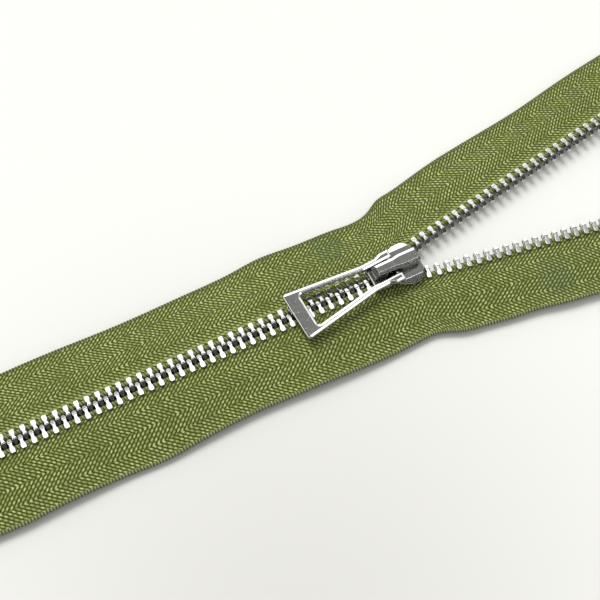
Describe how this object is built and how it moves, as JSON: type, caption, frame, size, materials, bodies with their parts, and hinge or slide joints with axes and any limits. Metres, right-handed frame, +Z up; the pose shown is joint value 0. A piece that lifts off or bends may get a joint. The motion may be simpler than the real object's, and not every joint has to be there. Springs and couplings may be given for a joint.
{
  "type": "metal zipper with auto-lock slider",
  "caption": "Closed-end metal zipper, half open: woven tapes, nickel teeth and stops, auto-lock slider with a trapezoid frame puller.",
  "frame": {"origin": "on the flat underside of the slider, below the centre line of the closed chain, midway between the slider's two ends; the zipper rests on this plane", "axes": "+X along the chain towards the open end, +Y across it towards the left tape, +Z up through the slider's crown"},
  "size_m": [0.2099, 0.0614, 0.0062],
  "materials": {
    "tape_fabric": "olive herringbone weave, matte with a slight yarn sheen",
    "cord_fabric": "olive braided cord, matte",
    "tooth_nickel": "bright nickel plate, polished",
    "stop_nickel": "bright nickel plate, polished",
    "slider_nickel": "nickel plate over a zinc casting, polished",
    "crown_nickel": "nickel plate, polished, with fine wear",
    "puller_nickel": "nickel plate over a zinc casting, polished, with fine scratches",
    "spring_steel": "spring steel strip"
  },
  "bodies": {
    "chain": {"tape_left": "tape_fabric", "tape_right": "tape_fabric", "cord_left": "cord_fabric", "cord_right": "cord_fabric", "teeth_left_meshed": "tooth_nickel", "teeth_left_in_slider": "tooth_nickel", "teeth_left_free": "tooth_nickel", "teeth_right_meshed": "tooth_nickel", "teeth_right_in_slider": "tooth_nickel", "teeth_right_free": "tooth_nickel", "bottom_stop": "stop_nickel", "top_stop_left": "stop_nickel", "top_stop_right": "stop_nickel"},
    "slider": {"slider_body": "slider_nickel", "crown_cap": "crown_nickel"},
    "lock": {"lock_spring": "spring_steel"},
    "pull": {"puller": "puller_nickel"}
  },
  "joints": [
    {"name": "slider_travel", "type": "slide", "parent": "chain", "child": "slider", "axis": [1, 0, 0], "range_m": [-0.09245, 0.0665], "deforming": ["cord_left", "cord_right", "teeth_left_meshed", "teeth_left_in_slider", "teeth_left_free", "teeth_right_meshed", "teeth_right_in_slider", "teeth_right_free"]},
    {"name": "puller_swing", "type": "hinge", "parent": "slider", "child": "pull", "pos_m": [-0.00045, 0, 0.0047], "axis": [-0.0523, 0.9986, 0], "range_deg": [0, 183]},
    {"name": "lock_lift", "type": "hinge", "parent": "slider", "child": "lock", "pos_m": [-0.0035, 0, 0.0044], "axis": [0, -1, 0], "range_deg": [0, 5], "stiffness_Nm_per_rad": 0.00003}
  ]
}
